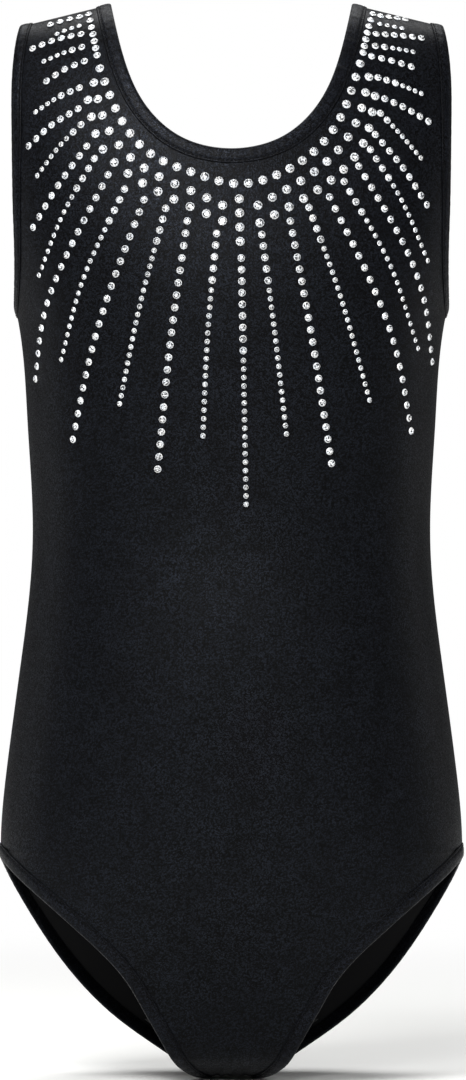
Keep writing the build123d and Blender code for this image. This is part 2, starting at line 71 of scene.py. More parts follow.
def spline_value(t, knots, values, slopes):
    """The cubic through two neighbouring values with their two slopes, at t."""
    i = np.clip(np.searchsorted(knots, t) - 1, 0, len(knots) - 2)
    step = knots[i + 1] - knots[i]
    s = (t - knots[i]) / step
    ends = values[i] * (1 + 2 * s) * (1 - s) ** 2 + values[i + 1] * s**2 * (3 - 2 * s)
    bends = slopes[i] * s * (1 - s) ** 2 - slopes[i + 1] * s**2 * (1 - s)
    return ends + step * bends


def arc(points):
    """Length along a row of points, from 0 at the first one."""
    return np.concatenate([[0], np.cumsum(np.linalg.norm(np.diff(points, axis=0), axis=-1))])


KNOTS = arc(STATIONS[:, (0, 2)])
KNOTS /= KNOTS[-1]
CHORDS = (np.diff(STATIONS, axis=0).T / np.diff(KNOTS)).T
SLOPES = [spline_slopes(KNOTS, STATIONS[:, i], CHORDS[0, i], CHORDS[-1, i]) for i in range(4)]
SLOPES[:2] = [spline_slopes(KNOTS, STATIONS[:, i], 0, 0) for i in range(2)]


def form(rise, column):
    """One column of STATIONS at `rise`, which is 0 at the crotch and 1 at the shoulders."""
    return spline_value(rise, KNOTS, STATIONS[:, column], SLOPES[column])


def shoulder_drop(x, level):
    """The shoulder slope: a smooth step in level times a slope in x."""
    share = np.clip((level - SHOULDER_START) / (STATIONS[-1, 0] - SHOULDER_START), 0, 1)
    return SHOULDER_SLOPE * (np.hypot(x, SHOULDER_ROUND) - NECK_SIDE) * share**2 * (3 - 2 * share)


def surface(turn, rise):
    """A flattened ellipse at each level: x goes with the sine of turn and y with its cosine.
    Turn is 0 at the centre front, pi/2 at the left side seam and pi at the centre back."""
    depth = np.where(np.cos(turn) > 0, form(rise, 2), form(rise, 3))
    x = form(rise, 1) * np.sin(turn)
    y = SEAM_Y - depth * np.cos(turn) * (1 + FLATNESS * np.sin(turn) ** 2)
    level = form(rise, 0)
    return np.stack([x, y, level - shoulder_drop(x, level)], axis=-1)


def slopes_at(turn, rise):
    """The form's slopes by turn and by rise, and their cross product as the unit normal."""
    step = 1e-4
    low, high = np.clip(rise - step, 0, 1), np.clip(rise + step, 0, 1)
    by_turn = (surface(turn + step, rise) - surface(turn - step, rise)) / (2 * step)
    by_rise = (surface(turn, high) - surface(turn, low)) / (high - low)[..., None]
    normal = np.cross(by_turn, by_rise)
    normal[..., 1] = np.where((rise == 0) | (rise == 1), 0, normal[..., 1])
    return by_turn, by_rise, normal / np.linalg.norm(normal, axis=-1, keepdims=True)


def lifted(turn, rise, lift):
    """The form moved `lift` along its normal."""
    return surface(turn, rise) + np.asarray(lift)[..., None] * slopes_at(turn, rise)[2]


def place(x, z, behind=False):
    """Turn and rise of the point of the form that a view from the front shows at (x, z)."""
    level = z + 0 * x
    for _ in range(12):
        level = z + shoulder_drop(x, level)
    dense = np.linspace(0, 1, 4001)
    rise = np.interp(level, form(dense, 0), dense)
    turn = np.arcsin(np.clip(x / form(rise, 1), -1, 1))
    return (np.pi - turn if behind else turn), rise


# ---- Cut edges -----------------------------------------------------------------------------
# The neckline, armholes and leg openings are cut in smooth lines and finished with a binding.
# Each path runs with the knit on its left, in steps short enough to carry every stitch.

NECK_BAND, ARM_BAND, LEG_BAND = 8.0, 7.0, 8.0
TUCK = 1.7  # panel edge held inside a binding
PATH_STEP = 0.5
ON_LINE = 1e-9  # a path's end counts as on the centre line below this sine of its turn
SHOULDER_END, UNDERARM, HIP, CROTCH_HALF = 110.0, 402.0, 114.5, 18.0
# Points (x, z) that the cut edges pass through, as seen from the front.
FRONT_NECK = [(0, 480), (24.5, 485.5), (46, 506), (55, 527), (58.5, 540)]
BACK_NECK = [(0, 440), (30, 446), (50, 466), (61, 500), (63.5, 530)]
ARM = [(113, 525), (113.2, 490), (112.4, 450), (111.7, 420)]
FRONT_LEG = [(32.5, 14.6), (44.5, 36.5), (54, 53), (78, 78), (103.5, 100)]
BACK_LEG = [(32.5, 9.4), (62.9, 30), (83.5, 51), (104.5, 82), (115.4, 103)]


def edge_path(points):
    """Evenly spaced turns and rises along the smooth line through the points, square to the
    centre, crotch and shoulder lines at its ends."""
    points = np.array(points, float)
    knots = arc(surface(*points.T))
    dense = np.linspace(0, knots[-1], 4000)
    ends = (np.diff(points, axis=0).T / np.diff(knots)).T[[0, -1]]
    for end, (turn, rise) in zip(ends, points[[0, -1]]):
        end[0] = 0 if rise in (0, 1) else end[0]
        end[1] = 0 if abs(np.sin(turn)) < ON_LINE else end[1]
    line = []
    for values, (first, last) in zip(points.T, ends.T):
        line.append(spline_value(dense, knots, values, spline_slopes(knots, values, first, last)))
    turn, rise = line[0], np.clip(line[1], 0, 1)
    length = arc(surface(turn, rise))
    even = np.linspace(0, length[-1], round(length[-1] / PATH_STEP) + 1)
    return np.interp(even, length, turn), np.interp(even, length, rise)


def moved(path, distance):
    """The path moved to its left across the form in steps of at most 1 mm, each split into a
    turn and a rise by the form's slopes. An end on a seam or centre line stays on it."""
    turn, rise = path
    steps = max(1, int(np.ceil(abs(distance))))
    for _ in range(steps):
        by_turn, by_rise, normal = slopes_at(turn, rise)
        tangent = np.gradient(surface(turn, rise), axis=0)
        tangent /= np.linalg.norm(tangent, axis=1, keepdims=True)
        across = np.cross(normal, tangent) * distance / steps
        a, b, c = (by_turn**2).sum(1), (by_turn * by_rise).sum(1), (by_rise**2).sum(1)
        p, q = (by_turn * across).sum(1), (by_rise * across).sum(1)
        turn_step = (p * c - q * b) / (a * c - b * b)
        rise_step = (q * a - p * b) / (a * c - b * b)
        for end in (0, -1):
            if rise[end] in (0, 1):
                turn_step[end] = np.sign(p[end]) * abs(distance / steps) / np.sqrt(a[end])
                rise_step[end] = 0
            elif abs(np.sin(turn[end])) < ON_LINE:
                turn_step[end] = 0
                rise_step[end] = np.sign(q[end]) * abs(distance / steps) / np.sqrt(c[end])
        turn, rise = turn + turn_step, rise + rise_step
    return turn, rise


arm_end = np.arcsin(SHOULDER_END / STATIONS[-1, 1])
neck_end = np.arcsin(NECK_SIDE / STATIONS[-1, 1])
leg_end = np.arcsin(CROTCH_HALF / STATIONS[0, 1])
left_arm = edge_path(
    [(np.pi - arm_end, 1)] + [place(x, z, behind=True) for x, z in ARM]
    + [(np.pi / 2, place(0, UNDERARM)[1])] + [place(x, z) for x, z in reversed(ARM)]
    + [(arm_end, 1)]
)
left_leg = edge_path(
    [(leg_end, 0)] + [place(x, z) for x, z in FRONT_LEG]
    + [(np.pi / 2, place(0, HIP)[1])] + [place(x, z, behind=True) for x, z in reversed(BACK_LEG)]
    + [(np.pi - leg_end, 0)]
)
front_neck = edge_path([(neck_end, 1)] + [place(x, z) for x, z in reversed(FRONT_NECK)])
back_neck = edge_path([place(x, z, behind=True) for x, z in BACK_NECK] + [(np.pi - neck_end, 1)])

# ---- Body panels ---------------------------------------------------------------------------
# A front and a back, each cut in one piece from four-way stretch knit of nylon and spandex, with
# the foil print outwards. They meet in sewn seams at the sides, shoulders and crotch.

FABRIC = 0.8
SEAM_PULL, SEAM_REACH = 0.4, 1.3  # the stitching draws the knit in along a seam
GATHER_DEPTH, GATHER_PITCH, GATHER_FADE = 1.4, 5.2, 15.0  # gathers where the crotch is sewn
GATHER_HALF, GATHER_WIDENS = 16.0, 50.0  # their half breadth, which doubles at this height
GATHER_FAN, GATHER_OPENS = 0.04, 30.0  # how they lean apart and grow broader upwards
RIPPLE, RIPPLE_REACH = 0.14, 4.0  # ripple beside a leg binding
RIPPLE_WAVE, RIPPLE_DRIFT, RIPPLE_SWAY = 1.4, 9.0, 1.5
LEG_TOP, LEG_SIDE = 96.0, 117.0  # the ripple stays below and inside these
SIDE_CURVE = 1.3  # way over the form for each mm of x
BELLY_LEVEL, BELLY_REACH = 165.0, 75.0
EASE = 0.225  # height of the slack waves over the belly
SLACK_WAVES = [(13, 31, 0.6, 1), (21, -17, 2.1, 0.7)]  # wave up, wave across, start and share
MESH_COLUMNS = np.linspace(-1, 1, 161)
LOW_ROWS, MIDDLE_ROWS, HIGH_ROWS = 66, 60, 56
NECK_SHARE = 0.6  # share of the half panel's columns that end on the neckline
SIDE = np.pi / 2 - 0.0006  # the panels' edges at the side seams stay this much apart
ALMOST = 0.9999  # and at the shoulders and crotch they stop this near to the line


def linear(colour):
    """An sRGB hex colour as linear red, green, blue and 1."""
    value = np.array([int(colour[i:i + 2], 16) for i in (1, 3, 5)]) / 255
    value = np.where(value <= 0.04045, value / 12.92, ((value + 0.055) / 1.055) ** 2.4)
    return (*value, 1.0)


def add_node(material, kind, inputs=None, **settings):
    """Adds a node. A value in inputs is a number, a colour or another node's output."""
    made = material.node_tree.nodes.new("ShaderNode" + kind)
    for name, value in settings.items():
        setattr(made, name, value)
    for name, value in (inputs or {}).items():
        if isinstance(value, bpy.types.NodeSocket):
            material.node_tree.links.new(value, made.inputs[name])
        else:
            made.inputs[name].default_value = value
    return made


def new_material(name, build):
    """A node material whose surface is the shader that build returns."""
    material = bpy.data.materials.new(name)
    material.use_nodes = True
    material.node_tree.nodes.clear()
    shader = build(material)
    add_node(material, "OutputMaterial", {"Surface": shader.outputs[0]})
    return material


def bands(spacing):
    """The scale at which a Wave texture's bands are this many mm apart."""
    return 2 * np.pi / (20 * spacing * MM)


def foil_knit(flake_mm, foil, roughness):
    """Nylon-spandex tricot with a hot-pressed foil print: near black, with broken glossy specks
    the size of the print's cracks, over the knit's wales. A point attribute takes the print off,
    down to near black, in proportion to its value: painted shade of the needle holes and of a
    binding's inside edge."""
    def build(material):
        where = add_node(material, "TexCoord").outputs
        # The cracks of the print are about 0.2 mm; drawn coarser so that they show.
        flakes = add_node(
            material, "TexVoronoi", {"Vector": where["Object"], "Scale": 1 / (flake_mm * MM)})
        parts = add_node(material, "SeparateColor", {"Color": flakes.outputs["Color"]})
        patches = add_node(
            material, "TexNoise",
            {"Vector": where["Object"], "Scale": 1 / (14 * MM), "Detail": 4.0})
        pressed = add_node(
            material, "MapRange",
            {"Value": patches.outputs["Fac"], "From Min": 0.3, "From Max": 0.7,
             "To Min": 0.55, "To Max": 1.0})
        speck = add_node(
            material, "MapRange",
            {"Value": parts.outputs["Red"], "From Min": 0.4, "From Max": 1.0})
        # Painted shade: a point attribute on the bindings takes the print off to near black at the
        # needle holes and along the inside edge.
        painted_shade = add_node(material, "Attribute", attribute_name="painted_shade").outputs["Fac"]
        unshaded = add_node(material, "Math", {0: 1.0, 1: painted_shade}, operation="SUBTRACT")
        whole = add_node(
            material, "Math",
            {0: pressed.outputs["Result"], 1: unshaded.outputs[0]}, operation="MULTIPLY")
        print_share = add_node(
            material, "Math",
            {0: speck.outputs["Result"], 1: whole.outputs[0]}, operation="MULTIPLY")
        colour = add_node(
            material, "Mix",
            {"Factor": print_share.outputs[0], "A": linear("#030304"), "B": linear(foil)},
            data_type="RGBA")
        gloss = add_node(
            material, "MapRange",
            {"Value": parts.outputs["Green"],
             "To Min": roughness - 0.1, "To Max": roughness + 0.12})
        # The wales are about 0.5 mm apart; drawn at 0.7 mm so that they show.
        wales = add_node(
            material, "TexWave",
            {"Vector": where["UV"], "Scale": bands(0.7), "Distortion": 0.6, "Detail": 1.0})
        height = add_node(
            material, "Math", {0: wales.outputs["Fac"], 1: parts.outputs["Blue"]}, operation="ADD")
        bump = add_node(
            material, "Bump",
            {"Strength": 0.45, "Distance": 0.05 * MM, "Height": height.outputs[0]})
        metal = add_node(
            material, "Math", {0: print_share.outputs[0], 1: 0.8}, operation="MULTIPLY")
        return add_node(
            material, "BsdfPrincipled",
            {"Base Color": colour.outputs["Result"], "Roughness": gloss.outputs["Result"],
             "Metallic": metal.outputs[0], "Normal": bump.outputs["Normal"],
             "Specular IOR Level": 0.05, "Sheen Weight": 0.002, "Sheen Roughness": 0.45})
    return build


def matt_knit(colour, lighter, loop_mm, sheen):
    """Plain filament knit: rows of small loops, matt. Its colour is a little lighter on the loops'
    tops and darker between them, broken by a fine noise: painted highlight on the loops and
    painted shade between them.
    """
    def build(material):
        uv = add_node(material, "TexCoord").outputs["UV"]
        wales = add_node(
            material, "TexWave", {"Vector": uv, "Scale": bands(loop_mm)})
        courses = add_node(
            material, "TexWave", {"Vector": uv, "Scale": bands(loop_mm)}, bands_direction="Y")
        loops = add_node(
            material, "Math", {0: wales.outputs["Fac"], 1: courses.outputs["Fac"]},
            operation="MULTIPLY")
        fuzz = add_node(material, "TexNoise", {"Vector": uv, "Scale": 1 / (1.5 * MM)})
        shade = add_node(
            material, "Math", {0: loops.outputs[0], 1: fuzz.outputs["Fac"]}, operation="MULTIPLY")
        # Painted highlight and shade: lighter where the loops stand up, darker between them.
        tone = add_node(
            material, "Mix",
            {"Factor": shade.outputs[0], "A": linear(colour), "B": linear(lighter)},
            data_type="RGBA")
        bump = add_node(
            material, "Bump",
            {"Strength": 0.6, "Distance": 0.1 * MM, "Height": loops.outputs[0]})
        return add_node(
            material, "BsdfPrincipled",
            {"Base Color": tone.outputs["Result"], "Roughness": 0.85,
             "Normal": bump.outputs["Normal"], "Specular IOR Level": 0.3,
             "Sheen Weight": sheen, "Sheen Roughness": 0.6})
    return build


body_foil = new_material("Foil_printed_spandex_knit", foil_knit(0.55, "#1F2228", 0.44))
body_reverse = new_material(
    "Spandex_knit_reverse", matt_knit("#08080A", "#15151A", 0.6, 0.05))


def make_piece(name, points, corners, materials, nodes, uv, capped=False):
    """A mesh in metres from points in mm. corners holds each face's rows and columns in the
    grid, counted on past a closed edge so that uv, in mm, runs on there. capped closes the two
    ends of a tube. The piece stands for nodes."""
    rows, columns = points.shape[:2]
    i, j = corners
    faces = ((i % rows) * columns + j % columns).tolist()
    places = uv[i, j].reshape(-1, 2)
    if capped:
        first = np.arange(columns)
        faces += [first.tolist(), (first[::-1] + (rows - 1) * columns).tolist()]
        places = np.concatenate([places, uv[0, :columns], uv[rows - 1, columns - 1::-1]])
    mesh = bpy.data.meshes.new(name)
    mesh.from_pydata((points.reshape(-1, 3) * MM).tolist(), [], faces)
    layer = mesh.uv_layers.new(name="UVMap")
    layer.data.foreach_set("uv", (places * MM).astype(np.float32).ravel())
    return finish_piece(name, mesh, materials, nodes)


def finish_piece(name, mesh, materials, nodes, smooth=True):
    """Puts a mesh in the scene with its materials, riding the body in place of its CAD nodes."""
    for material in materials:
        mesh.materials.append(material)
    mesh.polygons.foreach_set("use_smooth", np.full(len(mesh.polygons), smooth))
    mesh.update()
    piece = bpy.data.objects.new(name, mesh)
    bpy.context.scene.collection.objects.link(piece)
    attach(piece, "root")
    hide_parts(*nodes)
    return piece


def thicken(piece, thickness, reverse=0):
    """Gives a sheet its thickness, half to each side. reverse is its inside's material."""
    thick = piece.modifiers.new("Cloth_thickness", "SOLIDIFY")
    thick.thickness = thickness * MM
    thick.offset = 0
    thick.material_offset = reverse


def grid(rows, columns, ring=False, tube=False):
    """Rows and columns of each face's four corners, facing along row step times column step. A
    ring joins its last row to its first, and a tube its last column to its first."""
    i, j = np.meshgrid(
        np.arange(rows - (not ring)), np.arange(columns - (not tube)), indexing="ij")
    i, j = i.reshape(-1, 1), j.reshape(-1, 1)
    return i + [0, 1, 1, 0], j + [0, 0, 1, 1]


def side_limits(path, distance, behind, seam_on_top):
    """Rise and turn of a side edge moved in by `distance`, up to the side seam."""
    turn, rise = moved(path, distance)
    turn = np.pi - turn if behind else turn
    i = np.flatnonzero(np.diff(np.sign(turn - SIDE)))[0]
    seam_rise = rise[i] + (rise[i + 1] - rise[i]) * (SIDE - turn[i]) / (turn[i + 1] - turn[i])
    near = (turn < SIDE - 0.002) & ((rise < seam_rise) == seam_on_top)
    rise, turn = np.append(rise[near], seam_rise), np.append(turn[near], SIDE)
    order = np.argsort(rise)
    return rise[order], turn[order]


def panel_grid(neck, behind):
    """Turn and rise by column and row, in three blocks: crotch to hip and hip to underarm, whose
    rows are level, and underarm to shoulder, whose columns fan out to the neck and shoulder."""
    leg_rise, leg_turn = side_limits(left_leg, LEG_BAND - TUCK, behind, True)
    arm_rise, arm_turn = side_limits(left_arm, ARM_BAND - TUCK, behind, False)
    neck_turn, neck_rise = moved(neck, NECK_BAND - TUCK)
    if behind:
        neck_turn = np.pi - neck_turn
    else:
        neck_turn, neck_rise = neck_turn[::-1], neck_rise[::-1]
    u = MESH_COLUMNS[:, None]
    low = np.linspace(1 - ALMOST, leg_rise[-1], LOW_ROWS)[None]
    middle = np.linspace(leg_rise[-1], arm_rise[0], MIDDLE_ROWS)[None]
    size = np.abs(MESH_COLUMNS)
    share = np.linspace(0, 1, len(neck_turn))
    on_neck = np.clip(size / NECK_SHARE, 0, 1)
    on_shoulder = np.clip((size - NECK_SHARE) / (1 - NECK_SHARE), 0, 1)
    top_turn = np.interp(on_neck, share, neck_turn) + on_shoulder * (arm_turn[-1] - neck_turn[-1])
    top_rise = np.interp(on_neck, share, neck_rise)
    v = np.linspace(0, 1, HIGH_ROWS)
    arm_share = np.linspace(0, 1, len(arm_turn))
    side_turn, side_rise = np.interp(v, arm_share, arm_turn), np.interp(v, arm_share, arm_rise)
    w = size[:, None]
    high_turn = v * top_turn[:, None] + w * (side_turn - v * side_turn[-1])
    high_rise = (1 - v) * arm_rise[0] + v * top_rise[:, None]
    high_rise += w * (side_rise - (1 - v) * arm_rise[0] - v * side_rise[-1])
    turn = [u * np.interp(low, leg_rise, leg_turn), u * SIDE + 0 * middle, np.sign(u) * high_turn]
    rise = [low + 0 * u, middle + 0 * u, np.minimum(high_rise, ALMOST)]
    turn = np.concatenate([turn[0], turn[1][:, 1:], turn[2][:, 1:]], axis=1)
    rise = np.concatenate([rise[0], rise[1][:, 1:], rise[2][:, 1:]], axis=1)
    return (np.pi + turn if behind else turn), rise


def bell(x):
    """A smooth hill of height 1 at 0, which has mostly died away at 1.5."""
    return np.exp(-(x**2))


def hand_of_cloth(turn, rise, points):
    """How far the knit lies off the form: drawn in at the side seams, in folds that fade upwards
    from the crotch seam, in a shallow ripple beside each leg binding, and slack over the belly."""
    speed = np.linalg.norm(slopes_at(turn, rise)[0], axis=-1)
    to_side = np.abs(np.cos(turn)) * speed
    seam = -SEAM_PULL * bell(to_side / SEAM_REACH)
    up = np.concatenate([arc(column)[None] for column in points])
    x = points[..., 0]
    fold = 0.5 - 0.5 * np.cos(
        2 * np.pi * (x + GATHER_FAN * x * up) / GATHER_PITCH / (1 + up / GATHER_OPENS))
    half = GATHER_HALF * (1 + up / GATHER_WIDENS)
    gather = -GATHER_DEPTH * fold * np.exp(-up / GATHER_FADE) * bell(x / half)
    edge_x = np.abs(points[-1:, :, 0])
    edge = (1 - np.abs(MESH_COLUMNS))[:, None] * edge_x * SIDE_CURVE / RIPPLE_REACH
    beside = edge * np.exp(1 - edge) * (edge_x < LEG_SIDE)
    level = points[..., 2]
    wave = np.sin(up / RIPPLE_WAVE + RIPPLE_SWAY * np.sin(up / RIPPLE_DRIFT))
    ripple = RIPPLE * beside * wave * (level < LEG_TOP)
    belly = bell((level - BELLY_LEVEL) / BELLY_REACH) * bell(x / BELLY_REACH)
    slack = EASE * belly * sum(
        size * np.sin(level / rising + x / crossing + start)
        for rising, crossing, start, size in SLACK_WAVES)
    return seam + gather + ripple + slack


def knit_rows(turn, rise):
    """Where a point lies in the knit: across it, the share of the girth at its level, and along
    it, the length of the centre line up to its level."""
    half_turn = np.linspace(0, np.pi, 181)
    levels = np.linspace(0, 1, 301)
    girth = [arc(surface(half_turn, level + 0 * half_turn))[-1] for level in levels]
    height = arc(surface(0 * levels, levels))
    return np.stack(
        [turn / np.pi * np.interp(rise, levels, girth), np.interp(rise, levels, height)], axis=-1)


def sew_panel(name, node, neck, behind):
    """The panel grid lifted by hand_of_cloth, with knit_rows as uv, and thickened. The reverse of
    the knit is its second material."""
    turn, rise = panel_grid(neck, behind)
    form_points = surface(turn, rise)
    points = lifted(turn, rise, hand_of_cloth(turn, rise, form_points))
    panel = make_piece(
        name, points, grid(*turn.shape), [body_foil, body_reverse], [node],
        uv=knit_rows(turn - np.pi * behind, rise))
    thicken(panel, FABRIC, reverse=1)
    return panel


knit_front = sew_panel("Knit_front", "front_panel", front_neck, False)
knit_back = sew_panel("Knit_back", "back_panel", back_neck, True)

# ---- Bindings ------------------------------------------------------------------------------
# Strips of the same knit folded round the cut edge over a tape of elastic, and stitched through.
# The fold is round, the stitching sinks into it, and it puckers a little between the stitches.

BINDING = 2.4
STITCH_PITCH = 2.0
STITCH_ROW = 1.35  # stitching to the binding's inner edge
OUTER_ROW = 1.45  # second row to the armhole's outer edge
HOLE_DEPTH, HOLE_SIZE, BETWEEN_HOLES = 0.2, 0.5, 0.35  # the last as a share of the depth
EDGE_SHADE, EDGE_SHADE_REACH = 0.85, 0.45  # painted shade along the inside edge, for the shadow of the binding's step
PUCKER, PUCKER_WAVES = 0.07, (4.7, 6.3, 10.1)
JOIN_LUMP, JOIN_LAP, JOIN_SPREAD = 0.16, 3.2, 3.0  # the swelling where the ends overlap
JOIN_DIP, JOIN_SLIT = 0.3, 0.5  # the dip at the end of the upper one
PUCKER_NARROW = 1.6
FULL_LIFT = 0.6  # lift of the skin from which holes and puckers have their full depth
SKIN_POINTS, FOLD_POINTS = 36, 9
rng = np.random.default_rng(7)

binding_foil = new_material("Foil_knit_binding", foil_knit(0.5, "#22252C", 0.42))


def edge_line(path, distance):
    """Points and normals of the form along the path moved in by `distance`."""
    turn, rise = moved(path, distance)
    return np.stack([surface(turn, rise), slopes_at(turn, rise)[2]])


def neck_line(distance):
    """The whole neckline: centre back to left shoulder to centre front, then mirrored back."""
    half = np.concatenate([edge_line(back_neck, distance), edge_line(front_neck, distance)[:, 1:]],
                          axis=1)
    return np.concatenate([half, (half * [-1, 1, 1])[:, -2:0:-1]], axis=1)


def mirrored(line):
    """The same edge on the right: x changes sign, and the order too, which keeps the knit on
    the left."""
    return lambda distance: (line(distance) * [-1, 1, 1])[:, ::-1]


def smooth_profile(points, count):
    """Evenly spaced points on the smooth line through the points of a section."""
    points = np.array(points, float)
    knots = arc(points)
    dense = np.linspace(0, knots[-1], 500)
    ends = np.diff(points, axis=0) / np.diff(knots)[:, None]
    slopes = [spline_slopes(knots, v, e[0], e[-1]) for v, e in zip(points.T, ends.T)]
    line = np.stack([spline_value(dense, knots, v, s) for v, s in zip(points.T, slopes)], axis=1)
    length = arc(line)
    even = np.linspace(0, length[-1], count)
    return np.stack([np.interp(even, length, v) for v in line.T], axis=1)


def fold_section(width):
    """The folded strip's section as (distance in, lift): its skin from the inside edge round the
    fold to the outside edge, then the channel for the elastic and the panel."""
    high = BINDING / 2
    half = [(width, 0.48), (width - 0.22, 0.84), (width - 0.75, 0.98), (width - STITCH_ROW, 0.9),
            (width - 2.2, 1.06), (width / 2, high), (1.5, 1.15), (0.36, 0.72)]
    skin = [(d, -lift) for d, lift in half] + [(0, 0)] + half[::-1]
    channel = [(width - 0.25, 0.46), (width / 2, 0.52), (1.4, 0.46), (1.0, 0)]
    channel += [(d, -lift) for d, lift in channel[-2::-1]]
    return np.concatenate(
        [smooth_profile(skin, SKIN_POINTS), smooth_profile(channel, FOLD_POINTS)])


def pitch_on(length):
    """The stitch pitch nearest to STITCH_PITCH that divides the edge evenly."""
    return length / round(length / STITCH_PITCH)


def bind(name, node, line, width, rows, ring=False, join=None):
    """Carries fold_section along an edge. The lift sinks by a bell at every needle hole and swells
    by three slow waves, whole numbers of which fit the edge. join is the point where the strip's
    two ends overlap. A point attribute is 1 at the holes and high along the inside edge, and takes
    the print off there: painted shade of the holes and of the edge's step."""
    section = fold_section(width)
    lines = [line(distance) for distance, _ in section]
    base = np.stack([points for points, _ in lines], axis=1)
    normal = np.stack([normals for _, normals in lines], axis=1)
    closed = np.concatenate([base[:, 0], base[:1, 0]]) if ring else base[:, 0]
    length = arc(closed)
    s = length[:len(base), None]
    lift = np.broadcast_to(section[:, 1], base.shape[:2]).copy()
    skin = np.arange(len(section)) < SKIN_POINTS
    side = np.sign(section[:, 1]) * skin * np.clip(np.abs(section[:, 1]) / FULL_LIFT, 0, 1)
    pitch = pitch_on(length[-1])
    # Painted shade: near black along the inside edge for the edge's shadow, and at each needle
    # hole below for the holes' shadow.
    painted_shade = EDGE_SHADE * bell((section[:, 0] - width) / EDGE_SHADE_REACH) + 0 * s
    along_row = BETWEEN_HOLES + (1 - BETWEEN_HOLES) * np.sin(np.pi * s / pitch)**2
    for row in rows:
        hole = bell((section[:, 0] - row) / HOLE_SIZE) * along_row
        lift -= side * HOLE_DEPTH * hole
        painted_shade = np.maximum(painted_shade, hole**1.5)
    swell = 0
    for wave in PUCKER_WAVES:
        swell = swell + np.sin(2 * np.pi * round(length[-1] / wave) * s / length[-1] + wave)
    lift += side * PUCKER * swell / 2 * bell((section[:, 0] - width / 2) / width * PUCKER_NARROW)
    if join is not None:
        centre = length[np.linalg.norm(base[:, 0] - join, axis=1).argmin()]
        lift += side * (JOIN_LUMP * bell((s - centre - JOIN_LAP) / JOIN_SPREAD)
                        - JOIN_DIP * bell((s - centre) / JOIN_SLIT))
    points = base + lift[..., None] * normal
    around = arc(np.stack([section[:, 0], section[:, 1]], axis=1))
    around = np.append(around, 2 * around[-1] - around[-2])
    along = length if ring else np.append(length, 0)
    uv = np.stack(np.meshgrid(along, around, indexing="ij"), axis=-1)
    i, j = grid(*points.shape[:2], ring=ring, tube=True)
    piece = make_piece(
        name, points, (i, j), [binding_foil], [node], uv, capped=not ring)
    # The painted shade goes to the material as a point attribute.
    layer = piece.data.attributes.new("painted_shade", "FLOAT", "POINT")
    layer.data.foreach_set("value", painted_shade.ravel().astype(np.float32))
    return piece


join_mark = surface(*place(56.0, 523.0))  # near the left shoulder
# Each edge's line, binding width and stitch rows.
EDGES = {
    "neck": (neck_line, NECK_BAND, [NECK_BAND - STITCH_ROW]),
    "armhole": (lambda d: edge_line(left_arm, d), ARM_BAND, [OUTER_ROW, ARM_BAND - STITCH_ROW]),
    "leg": (lambda d: edge_line(left_leg, d), LEG_BAND, [LEG_BAND - STITCH_ROW]),
}
PAIRS = {"left": lambda line: line, "right": mirrored}
bindings = [bind("Binding_neck", "neck_binding", *EDGES["neck"], ring=True, join=join_mark)]
for edge in ("armhole", "leg"):
    line, width, rows = EDGES[edge]
    for hand, on_hand in PAIRS.items():
        bindings.append(
            bind(f"Binding_{edge}_{hand}", f"{edge}_binding_{hand}", on_hand(line), width, rows))

# ---- Topstitching --------------------------------------------------------------------------
# Each binding is sewn down with polyester thread in stitches 2 mm long: one row on the neck and
# leg bindings, two on the armholes. Every stitch is a bar of thread that dives at both ends.

THREAD_RADIUS, STITCH_SHARE = 0.19, 0.8  # share of the pitch that a stitch covers
STITCH_SEAT, STITCH_ARCH = 0.78, 0.26
STITCH_WANDER = 0.05  # as mm sideways and as slope
AHEAD = 2e-3  # share of the edge over which a stitch's direction is taken
ALONG, AROUND = 6, 6  # corners of a bar
RING_STEP, ROUND_STEP = 0.35, 0.2  # mm of thread between them, for the uv


def twisted_thread(material):
    """Polyester thread of three plies: satin, with a fine slanting twist, its colour a little
    lighter on the twist's ridges as a painted highlight.
    """
    uv = add_node(material, "TexCoord").outputs["UV"]
    twist = add_node(
        material, "TexWave", {"Vector": uv, "Scale": bands(0.35)}, bands_direction="DIAGONAL")
    # Painted highlight: the colour is lighter on the twist's ridges, where the bump rises.
    tone = add_node(
        material, "Mix",
        {"Factor": twist.outputs["Fac"], "A": linear("#030304"), "B": linear("#0C0D0F")},
        data_type="RGBA")
    bump = add_node(
        material, "Bump", {"Strength": 0.5, "Distance": 0.04 * MM, "Height": twist.outputs["Fac"]})
    return add_node(
        material, "BsdfPrincipled",
        {"Base Color": tone.outputs["Result"], "Roughness": 0.5, "Normal": bump.outputs["Normal"],
         "Specular IOR Level": 0.05, "Sheen Weight": 0.01, "Sheen Roughness": 0.4})


thread = new_material("Polyester_thread", twisted_thread)


def bars(centre, along, across, up, length, radius, arch):
    """Grid points of thread bars, one for each centre. A bar is a round tube along `along`,
    raised by a parabola of height arch, and as thick as the fourth root of 1 - a^4."""
    a = np.linspace(-1, 1, ALONG)
    turn = np.linspace(0, 2 * np.pi, AROUND, endpoint=False)
    thick = radius * np.maximum(1 - a**4, 0.02) ** 0.25
    body = (centre[:, None] + along[:, None] * (a * length / 2)[:, None]
            + up[:, None] * (arch * (1 - a**2))[:, None])
    ring = across[:, None] * np.cos(turn)[:, None] - up[:, None] * np.sin(turn)[:, None]
    return body[:, :, None] + thick[:, None, None] * ring[:, None]


